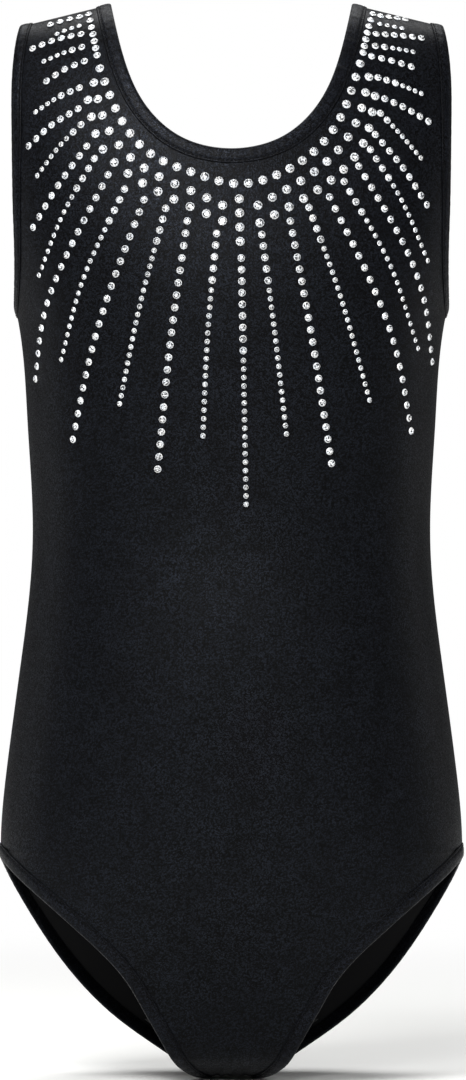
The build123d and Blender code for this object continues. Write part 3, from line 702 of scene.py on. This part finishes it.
def bar_mesh(name, points):
    """A mesh of many bars: the grid of one, repeated, with an end face on each end."""
    i, j = grid(ALONG, AROUND, tube=True)
    one = i * AROUND + j % AROUND
    size = ALONG * AROUND
    start = np.arange(len(points))[:, None, None] * size
    sides = (one + start).reshape(-1, 4).tolist()
    first = np.arange(AROUND)
    ends = np.stack([first, first[::-1] + (ALONG - 1) * AROUND]) + start
    mesh = bpy.data.meshes.new(name)
    mesh.from_pydata(
        (points.reshape(-1, 3) * MM).tolist(), [], sides + ends.reshape(-1, AROUND).tolist())
    layer = mesh.uv_layers.new(name="UVMap")
    side_uv = np.stack([i * RING_STEP, j * ROUND_STEP], axis=-1)
    uv = np.concatenate([
        np.tile(side_uv.reshape(-1, 2), (len(points), 1)),
        np.zeros((2 * AROUND * len(points), 2))])
    layer.data.foreach_set("uv", (uv * MM).astype(np.float32).ravel())
    return mesh


def stitch(name, node, line, rows, ring=False):
    """Bars of thread along each row, one between every two needle holes."""
    edge = line(0)[0]
    whole = np.concatenate([edge, edge[:1]]) if ring else edge
    share = arc(whole) / arc(whole)[-1]
    count = round(arc(whole)[-1] / STITCH_PITCH)
    all_bars = []
    for row in rows:
        points, normals = line(row)
        if ring:
            points, normals = (np.concatenate([v, v[:1]]) for v in (points, normals))
        at = np.arange(not ring, count) / count
        centre, up, ahead, behind = (
            np.stack([np.interp(at + shift, share, v, period=1 if ring else None)
                      for v in values.T], axis=1)
            for values, shift in ((points, 0), (normals, 0), (points, AHEAD), (points, -AHEAD)))
        along = ahead - behind
        along /= np.linalg.norm(along, axis=1, keepdims=True)
        up /= np.linalg.norm(up, axis=1, keepdims=True)
        across = np.cross(up, along)
        along = along + across * rng.normal(0, STITCH_WANDER, (len(at), 1))
        centre = centre + up * STITCH_SEAT + across * rng.normal(0, STITCH_WANDER, (len(at), 1))
        step = arc(points)[-1] / count
        all_bars.append(
            bars(centre, along, across, up, step * STITCH_SHARE, THREAD_RADIUS, STITCH_ARCH))
    mesh = bar_mesh(name, np.concatenate(all_bars))
    return finish_piece(name, mesh, [thread], [node])


stitches = [stitch("Stitches_neck", "neck_topstitch", neck_line, EDGES["neck"][2], ring=True)]
for edge in ("armhole", "leg"):
    line, _, rows = EDGES[edge]
    for hand, on_hand in PAIRS.items():
        stitches.append(
            stitch(f"Stitches_{edge}_{hand}", f"{edge}_topstitch_{hand}", on_hand(line), rows))

# ---- Elastics ------------------------------------------------------------------------------
# Tapes of black cotton-covered rubber, closed inside the bindings. Their CAD shape is right; the
# cover's ribs run across the tape.


def covered_elastic(material):
    """Swimwear elastic: a matt cotton cover in ribs 1 mm apart, with a slight bloom."""
    place_on = add_node(material, "TexCoord").outputs["Object"]
    ribs = add_node(
        material, "TexWave", {"Vector": place_on, "Scale": bands(1.0)},
        bands_direction="DIAGONAL")
    bloom = add_node(material, "TexNoise", {"Vector": place_on, "Scale": 1 / (6 * MM)})
    tone = add_node(
        material, "Mix",
        {"Factor": bloom.outputs["Fac"], "A": linear("#0C0C0D"), "B": linear("#1C1C1E")},
        data_type="RGBA")
    bump = add_node(
        material, "Bump", {"Strength": 0.5, "Distance": 0.1 * MM, "Height": ribs.outputs["Fac"]})
    return add_node(
        material, "BsdfPrincipled",
        {"Base Color": tone.outputs["Result"], "Roughness": 0.9, "Normal": bump.outputs["Normal"]})


elastic = new_material("Cotton_covered_elastic", covered_elastic)
for node_name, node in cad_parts.items():
    if "elastic" in node_name:
        for material_slot in node.material_slots:
            material_slot.material = elastic

# ---- Seam allowances -----------------------------------------------------------------------
# The panels' edges are overlocked together and lie flat inside: a soft ridge 6 mm wide wrapped
# in slanting loops of thread. They run down both sides, over the shoulders and at the crotch.

SEAM_WIDTH, SEAM_THICKNESS, REST_GAP = 6.0, 1.1, 0.06
RIDGE_POINTS, RIDGE_STEP = 14, 1.5  # corners round the ridge, and mm from one ring to the next
RIDGE_THINNER = 0.1  # each face lies this far inside the CAD's, which leaves room for the loops
LOOP_PITCH, LOOP_SLANT = 2.4, 0.3
LOOP_REACH, LOOP_SUNK = 0.46, 0.05  # half its length as a share of the ridge, and mm into it
LOOP_RADIUS, LOOP_ARCH = 0.16, 0.12
PAST_BAND = 1.0  # a seam or the lining stops this far from a binding
SEAM_TOP = -FABRIC / 2 - REST_GAP

overlocked = new_material("Overlocked_edge", matt_knit("#0A0A0C", "#1E1E22", 0.9, 0.2))


def ridge_section(count):
    """A flattened oval as (distance, lift): width by cosine, height by the root of its sine."""
    angle = np.linspace(0, 2 * np.pi, count, endpoint=False)
    distance = SEAM_WIDTH / 2 * np.cos(angle)
    height = np.sign(np.sin(angle)) * np.sqrt(np.abs(np.sin(angle)))
    return distance, SEAM_TOP - SEAM_THICKNESS / 2 + height * (SEAM_THICKNESS / 2 - RIDGE_THINNER)


def over_line(along_turn, distance, crotch=False):
    """Turn and rise on both sides of the shoulder or crotch line: rise falls away from the line
    by distance, and turn passes to the back where distance is negative."""
    reach = np.abs(distance) / np.linalg.norm(CHORDS[0 if crotch else -1, (0, 2)])
    turn = np.where(distance < 0, np.pi - along_turn, along_turn)
    return turn, reach if crotch else 1 - reach


def overlock(name, node, spots, hand=1):
    """The ridge and its loops. spots gives turn and rise for a place along the seam, from 0 to
    1, and a distance from it. hand is -1 for the right side, where x changes sign."""
    start, finish = (surface(*spots(np.array([end]), np.array([0.0])))[0] for end in (0.0, 1.0))
    length = np.linalg.norm(finish - start)
    distance, lift = ridge_section(RIDGE_POINTS)
    at = np.linspace(0, 1, round(length / RIDGE_STEP) + 2)[:, None]
    turn, rise = spots(at + 0 * distance, distance + 0 * at)
    points = lifted(turn, rise, lift + 0 * turn)
    uv = np.stack(np.meshgrid(
        np.append(at[:, 0] * length, 0), np.append(distance, distance[0]), indexing="ij"), axis=-1)
    count = max(2, round(length / LOOP_PITCH))
    middle = (np.arange(count) + 0.5) / count
    slant, half = LOOP_SLANT / count, SEAM_WIDTH * LOOP_REACH
    depth = SEAM_TOP - SEAM_THICKNESS + LOOP_SUNK + 0 * middle
    corner = [lifted(*spots(middle + share * slant, share * half + 0 * middle), depth)
              for share in (0, 1, -1)]
    up = -slopes_at(*spots(middle, 0 * middle))[2]
    along = corner[1] - corner[2]
    reach = np.linalg.norm(along, axis=1).mean()
    along /= np.linalg.norm(along, axis=1, keepdims=True)
    loops = bars(corner[0], along, np.cross(up, along), up, reach, LOOP_RADIUS, LOOP_ARCH)
    points, loops = (v * [hand, 1, 1] for v in (points, loops))
    ridge = make_piece(
        name, points[::hand], grid(*points.shape[:2], tube=True), [overlocked],
        [node], uv, capped=True)
    wraps = finish_piece(
        f"{name}_loops", bar_mesh(f"{name}_loops", loops[:, ::hand]), [thread], [])
    return [ridge, wraps]


hip_rise = place(0, HIP + LEG_BAND + PAST_BAND)[1]
underarm_rise = place(0, UNDERARM - ARM_BAND - PAST_BAND)[1]


def side_spots(at, distance):
    """Up the left side seam; distance runs towards the back."""
    rise = hip_rise + (underarm_rise - hip_rise) * at
    speed = np.linalg.norm(slopes_at(0 * rise + np.pi / 2, rise)[0], axis=-1)
    return np.pi / 2 + distance / speed, rise


def shoulder_spots(at, distance):
    """Out along the left shoulder line, from the neck binding to the armhole binding."""
    inner, outer = NECK_SIDE + NECK_BAND + PAST_BAND, SHOULDER_END - ARM_BAND - PAST_BAND
    return over_line(np.arcsin((inner + (outer - inner) * at) / STATIONS[-1, 1]), distance)


def crotch_spots(at, distance):
    """Across the crotch line between the leg bindings."""
    half = CROTCH_HALF - LEG_BAND - PAST_BAND
    return over_line(np.arcsin((1 - 2 * at) * half / STATIONS[0, 1]), distance, crotch=True)


seams = []
for hand, sign in (("left", 1), ("right", -1)):
    seams += overlock(f"Seam_side_{hand}", f"side_seam_{hand}", side_spots, sign)
    seams += overlock(f"Seam_shoulder_{hand}", f"shoulder_seam_{hand}", shoulder_spots, sign)
seams += overlock("Seam_crotch", "crotch_seam", crotch_spots)

# ---- Gusset lining -------------------------------------------------------------------------
# A layer of soft matt tricot inside the crotch, caught in the leg bindings' stitching.

LINING = 0.5
LINING_FRONT, LINING_BACK = 60.0, 26.0  # heights it reaches
FULLNESS, FULL_WAVES = 0.35, 6
LINING_LIFT = SEAM_TOP - SEAM_THICKNESS - REST_GAP - LINING / 2

lining_knit = new_material("Lining_tricot", matt_knit("#101013", "#222226", 0.8, 0.15))
share = np.linspace(-1, 1, 41)[:, None]
halves = []
for behind, top in ((False, LINING_FRONT), (True, LINING_BACK)):
    leg_rise, leg_turn = side_limits(left_leg, LEG_BAND + PAST_BAND, behind, True)
    rise = np.linspace(place(0, top)[1], 0, 30)[None]
    turn = share * np.interp(rise, leg_rise, leg_turn)
    halves.append((np.pi - turn if behind else turn, rise + 0 * share))
(front_turn, front_rise), (back_turn, back_rise) = halves
lining_turn = np.concatenate([front_turn, back_turn[:, -2::-1]], axis=1)
lining_rise = np.concatenate([front_rise, back_rise[:, -2::-1]], axis=1)
fullness = FULLNESS * (1 - share**2) * (
    1 - np.cos(2 * np.pi * np.linspace(0, FULL_WAVES, lining_turn.shape[1]))[None]) / 2
lining_points = lifted(lining_turn, lining_rise, LINING_LIFT - fullness)
lining_uv = np.stack([
    np.stack([arc(v) for v in lining_points.transpose(1, 0, 2)], axis=1),
    np.stack([arc(v) for v in lining_points])], axis=-1)
# Its rows run down the front, so the row and column order is turned to face outwards.
lining_piece = make_piece(
    "Gusset_lining", lining_points[::-1], grid(*lining_turn.shape), [lining_knit],
    ["gusset_lining"], lining_uv[::-1])
thicken(lining_piece, LINING)

# ---- Care label ----------------------------------------------------------------------------
# A blank tab of white woven satin, caught by one edge in the left side seam. Its free edge
# lifts a little and its corners curl.

LABEL_WIDTH, LABEL_LOW, LABEL_HIGH, LABEL_THICKNESS = 22.0, 168.0, 206.0, 0.3
LABEL_LIFT = SEAM_TOP - SEAM_THICKNESS - REST_GAP - LABEL_THICKNESS / 2
LABEL_SEWN = 1.0  # of its width, caught in the seam
CURL, CURL_MIDDLE = 2.2, 0.35  # lift of the free corners, and its share at mid height


def woven_satin(material):
    """Polyester satin ribbon: bright white, silky along its length."""
    uv = add_node(material, "TexCoord").outputs["UV"]
    # The threads are about 0.3 mm apart; drawn at 0.6 mm so that they show.
    threads = add_node(
        material, "TexWave", {"Vector": uv, "Scale": bands(0.6), "Distortion": 0.4},
        bands_direction="Y")
    cloud = add_node(material, "TexNoise", {"Vector": uv, "Scale": 1 / (5 * MM)})
    tone = add_node(
        material, "Mix",
        {"Factor": cloud.outputs["Fac"], "A": linear("#D8D8D4"), "B": linear("#F1F1EE")},
        data_type="RGBA")
    bump = add_node(
        material, "Bump",
        {"Strength": 0.4, "Distance": 0.05 * MM, "Height": threads.outputs["Fac"]})
    return add_node(
        material, "BsdfPrincipled",
        {"Base Color": tone.outputs["Result"], "Roughness": 0.42, "Normal": bump.outputs["Normal"],
         "Sheen Weight": 0.2, "Sheen Roughness": 0.3})


satin = new_material("Woven_satin_label", woven_satin)
height = np.linspace(LABEL_LOW, LABEL_HIGH, 40)
out = np.linspace(-LABEL_SEWN, LABEL_WIDTH - LABEL_SEWN, 26)[:, None]
label_rise = place(0 * height, height)[1][None] + 0 * out
label_speed = np.linalg.norm(slopes_at(0 * label_rise + np.pi / 2, label_rise)[0], axis=-1)
free = np.clip(out / LABEL_WIDTH, 0, 1)
corner_share = np.abs(2 * (height - LABEL_LOW) / (LABEL_HIGH - LABEL_LOW) - 1)[None]
label_points = lifted(
    np.pi / 2 + out / label_speed, label_rise,
    LABEL_LIFT - CURL * free**2 * (CURL_MIDDLE + (1 - CURL_MIDDLE) * corner_share**2))
label_uv = np.stack(np.meshgrid(out[:, 0], height, indexing="ij"), axis=-1)
label_piece = make_piece(
    "Care_label", label_points, grid(*label_points.shape[:2]), [satin],
    ["care_label"], label_uv)
thicken(label_piece, LABEL_THICKNESS)

# ---- Crystals ------------------------------------------------------------------------------
# Foil-backed flat-back crystals of clear cut glass, 2.8, 3.9 and 4.7 mm across, fused to the
# knit by the glue on their backs. Each stone's seat, tilt and size are read from its CAD solid.

SIDES = 10
# Ring radii and heights as shares of the diameter: back, girdle, crown break and table.
RINGS = [(0.5, 0.0), (0.5, 0.07), (0.385, 0.235), (0.235, 0.335)]
TABLE_DOME = 0.012  # rise of the table's middle
STONE_HEIGHT = 0.38  # of the CAD solid, as a share of its diameter
DARK_STARS, DARK_TABLES = 0.6, 0.45  # shares of the star and table facets painted dark: painted reflection
MICRONS = 1e6  # in a metre; the CAD mesh's corners are told apart to the micron
MOST_PASSES = 200


def foiled_glass(material):
    """Lead-free cut glass over a silver foil, under a clear hard gloss. Each facet's base colour
    is set bright or dark by a face attribute: a painted reflection of its own part of the room."""
    # Painted reflection: each facet's brightness is read from a face attribute.
    facet = add_node(material, "Attribute", attribute_name="facet").outputs["Fac"]
    spot = add_node(material, "TexCoord").outputs["Object"]
    fire = add_node(material, "TexNoise", {"Vector": spot, "Scale": 1 / (3 * MM), "Detail": 1.0})
    tint = add_node(
        material, "Mix",
        {"Factor": fire.outputs["Fac"], "A": linear("#EAF3FF"), "B": linear("#FFFBF4")},
        data_type="RGBA")
    colour = add_node(
        material, "Mix",
        {"Factor": facet, "A": linear("#14161B"), "B": tint.outputs["Result"]},
        data_type="RGBA")
    return add_node(
        material, "BsdfPrincipled",
        {"Base Color": colour.outputs["Result"], "Metallic": 0.25, "Roughness": 0.16, "IOR": 1.55,
         "Coat Weight": 0.6, "Coat Roughness": 0.03, "Coat IOR": 1.55})


crystal = new_material("Foiled_cut_glass", foiled_glass)


def cut_stone():
    """Corners and faces of one stone of diameter 1, standing on its back: rings of corners, each
    turned half a step at the crown break, joined by triangular facets. The last array says each
    facet's kind: 0 side, 1 crown, 2 star and 3 table."""
    corners = []
    for number, (radius, level) in enumerate(RINGS):
        angle = (np.arange(SIDES) + 0.5 * (number == 2)) * 2 * np.pi / SIDES
        corners.append(np.stack(
            [radius * np.cos(angle), radius * np.sin(angle), level + 0 * angle], axis=1))
    corners.append(np.array([[0, 0, RINGS[-1][1] + TABLE_DOME]]))
    here = np.arange(SIDES)
    after = (here + 1) % SIDES
    back, girdle, crown, table = (here + k * SIDES for k in range(4))
    girdle2, crown2, table2 = (after + k * SIDES for k in range(1, 4))
    middle = np.full(SIDES, 4 * SIDES)
    three = np.concatenate([
        np.stack([girdle, girdle2, crown], 1), np.stack([crown, girdle2, crown2], 1),
        np.stack([crown, crown2, table2], 1), np.stack([table, crown, table2], 1),
        np.stack([table, table2, middle], 1)])
    four = np.stack([back, after, girdle2, girdle], 1)
    kinds = np.repeat([1, 1, 2, 2, 3], SIDES)
    return np.concatenate(corners), four, three, np.concatenate([np.zeros(SIDES, int), kinds])


def stones_in(node):
    """Seat, outward direction and diameter of each stone of a CAD node. Corners that share a
    triangle belong to one stone; a stone's thinnest direction is its axis, and its wide end is
    its back."""
    mesh = node.data
    corners = np.empty(3 * len(mesh.vertices), np.float32)
    mesh.vertices.foreach_get("co", corners)
    loops = np.empty(len(mesh.loops), np.int32)
    mesh.loops.foreach_get("vertex_index", loops)
    keys = np.round(corners.reshape(-1, 3) * MICRONS).astype(np.int64)
    unique, same = np.unique(keys, axis=0, return_inverse=True)
    corners = unique / MICRONS / MM
    triangles = same.ravel()[loops].reshape(-1, 3)
    label = np.arange(len(corners))
    for _ in range(MOST_PASSES):
        low = label[triangles].min(axis=1)
        before = label.copy()
        np.minimum.at(label, triangles.ravel(), np.repeat(low, 3))
        label = label[label]
        if (label == before).all():
            break
    _, stone = np.unique(label, return_inverse=True)
    count = np.bincount(stone)
    centre = np.stack([np.bincount(stone, v) for v in corners.T], axis=1) / count[:, None]
    arm = corners - centre[stone]
    spread = np.zeros((len(count), 3, 3))
    np.add.at(spread, stone, arm[:, :, None] * arm[:, None])
    axis = np.linalg.eigh(spread)[1][:, :, 0]
    height = (arm * axis[stone]).sum(1)
    radius = np.linalg.norm(arm - height[:, None] * axis[stone], axis=1)
    wide_end = np.bincount(stone, height * radius)
    axis *= -np.sign(wide_end)[:, None]
    diameter = np.zeros(len(count))
    np.maximum.at(diameter, stone, 2 * radius)
    return centre - axis * (STONE_HEIGHT / 2 * diameter)[:, None], axis, diameter


def set_stones(name, node_name):
    """One cut stone on every seat, spun by chance about its axis. The facet attribute is drawn at
    random for each facet and sets how bright its colour is, a painted reflection: crown facets are
    mostly bright, and star and table ones mixed."""
    seat, up, diameter = stones_in(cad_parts[node_name])
    order = np.lexsort((seat[:, 0], -seat[:, 2]))
    seat, up, diameter = seat[order], up[order], diameter[order]
    corners, four, three, kinds = cut_stone()
    count = len(seat)
    spin = rng.uniform(0, 2 * np.pi, count)
    level = np.cross([0, 0, 1.0], up)
    level /= np.linalg.norm(level, axis=1, keepdims=True)
    rise = np.cross(up, level)
    first = level * np.cos(spin)[:, None] + rise * np.sin(spin)[:, None]
    second = np.cross(up, first)
    tilt = np.stack([first, second, up], axis=2)
    points = seat[:, None] + diameter[:, None, None] * np.einsum("sij,cj->sci", tilt, corners)
    start = np.arange(count)[:, None, None] * len(corners)
    back = np.arange(SIDES)[::-1] + start[:, 0]
    faces = (four + start).reshape(-1, 4).tolist() + (three + start).reshape(-1, 3).tolist()
    mesh = bpy.data.meshes.new(name)
    mesh.from_pydata((points.reshape(-1, 3) * MM).tolist(), [], faces + back.tolist())
    # Painted reflection: each facet's base colour is drawn bright or dark at random, standing in
    # for the part of the room it reflects.
    chance = rng.uniform(0, 1, (count, len(kinds)))
    bright = np.select(
        [kinds == 0, kinds == 1, kinds == 2],
        [0.2 + 0.3 * chance, 0.7 + 0.3 * chance, np.where(chance < DARK_STARS, 0.04, 0.7)],
        np.where(chance < DARK_TABLES, 0.12, 0.6 + 0.4 * chance))
    facet = np.concatenate([
        bright[:, :SIDES].ravel(), bright[:, SIDES:].ravel(), np.zeros(count)])
    layer = mesh.attributes.new("facet", "FLOAT", "FACE")
    layer.data.foreach_set("value", facet.astype(np.float32))
    return finish_piece(name, mesh, [crystal], [node_name], smooth=False)


stones = [
    set_stones(node_name.replace("crystal", "Crystals"), node_name)
    for node_name in sorted(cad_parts) if node_name.startswith("crystal")
]

# ---- Cut sizes -----------------------------------------------------------------------------
# The knit is cut small and stretches onto the body, by about a quarter in area.


# ---- Studio --------------------------------------------------------------------------------
# The leotard is held up at its worn shape over a pale floor that fades into a white room, with
# large soft lights. The camera looks level at its middle from 4 m.

CAMERA_AWAY, CAMERA_LEVEL, CAMERA_ASIDE = 4.0, 0.2798, 0.0008
LENS, SENSOR = 256.0, 36.0
FLOOR_RADIUS, FADE_START, FADE_END = 3.0, 0.35, 1.5
DIM, BRIGHT = 0.1, 1.0  # the room as it lights the leotard, and as the camera sees it


def pale_floor(material):
    """Matt pale vinyl near the object that fades to the white of the room further out."""
    spot = add_node(material, "TexCoord").outputs["Object"]
    away = add_node(material, "VectorMath", {0: spot}, operation="LENGTH")
    fade = add_node(
        material, "MapRange",
        {"Value": away.outputs["Value"], "From Min": FADE_START, "From Max": FADE_END},
        interpolation_type="SMOOTHSTEP")
    vinyl = add_node(
        material, "BsdfPrincipled", {"Base Color": linear("#F4F4F2"), "Roughness": 0.7})
    white = add_node(material, "Emission", {"Color": (1, 1, 1, 1), "Strength": 1.0})
    return add_node(
        material, "MixShader",
        {0: fade.outputs["Result"], 1: vinyl.outputs[0], 2: white.outputs[0]})


angle = np.linspace(0, 2 * np.pi, 96, endpoint=False)
rim = np.stack([np.cos(angle), np.sin(angle), 0 * angle], axis=1) * FLOOR_RADIUS
floor_mesh = bpy.data.meshes.new("Floor")
floor_mesh.from_pydata(rim.tolist(), [], [list(range(len(rim)))])
floor_mesh.materials.append(new_material("Pale_floor", pale_floor))
floor = bpy.data.objects.new("Floor", floor_mesh)
bpy.context.scene.collection.objects.link(floor)

world = bpy.data.worlds.new("Room")
world.use_nodes = True
world.node_tree.nodes.clear()
seen = add_node(world, "LightPath").outputs["Is Camera Ray"]
strength = add_node(world, "MapRange", {"Value": seen, "To Min": DIM, "To Max": BRIGHT})
room = add_node(world, "Background", {"Color": (1, 1, 1, 1), "Strength": strength.outputs[0]})
add_node(world, "OutputWorld", {"Surface": room.outputs[0]})
bpy.context.scene.world = world


def soft_light(name, spot, size, power):
    """A rectangular softbox, aimed at the leotard's middle."""
    lamp = bpy.data.lights.new(name, "AREA")
    lamp.shape = "RECTANGLE"
    lamp.size, lamp.size_y = size
    lamp.energy = power
    light = bpy.data.objects.new(name, lamp)
    aim = np.array([0, 0, CAMERA_LEVEL]) - spot
    tilt = np.arctan2(np.hypot(aim[0], aim[1]), -aim[2])
    light.location = spot
    light.rotation_euler = (tilt, 0, np.arctan2(-aim[0], aim[1]))
    bpy.context.scene.collection.objects.link(light)


soft_light("Key_softbox", (-0.5, -1.1, 1.3), (0.7, 0.6), 28)
soft_light("Front_softbox", (-0.1, -2.0, 1.0), (0.5, 0.5), 17)
soft_light("Fill_softbox", (0.9, -1.3, 1.0), (0.5, 0.8), 3)
soft_light("Left_strip", (-1.3, 0.35, 0.5), (0.35, 1.4), 3)
soft_light("Right_strip", (1.3, 0.35, 0.5), (0.35, 1.4), 3)
soft_light("Overhead_softbox", (0.0, 0.9, 2.3), (2.0, 1.6), 45)
bpy.context.scene.view_settings.view_transform = "Standard"

lens = bpy.data.cameras.new("Camera")
lens.lens, lens.sensor_width = LENS, SENSOR
camera = bpy.data.objects.new("Camera", lens)
camera.location = (CAMERA_ASIDE, -CAMERA_AWAY, CAMERA_LEVEL)
camera.rotation_euler = (np.pi / 2, 0, 0)
bpy.context.scene.collection.objects.link(camera)
bpy.context.scene.camera = camera
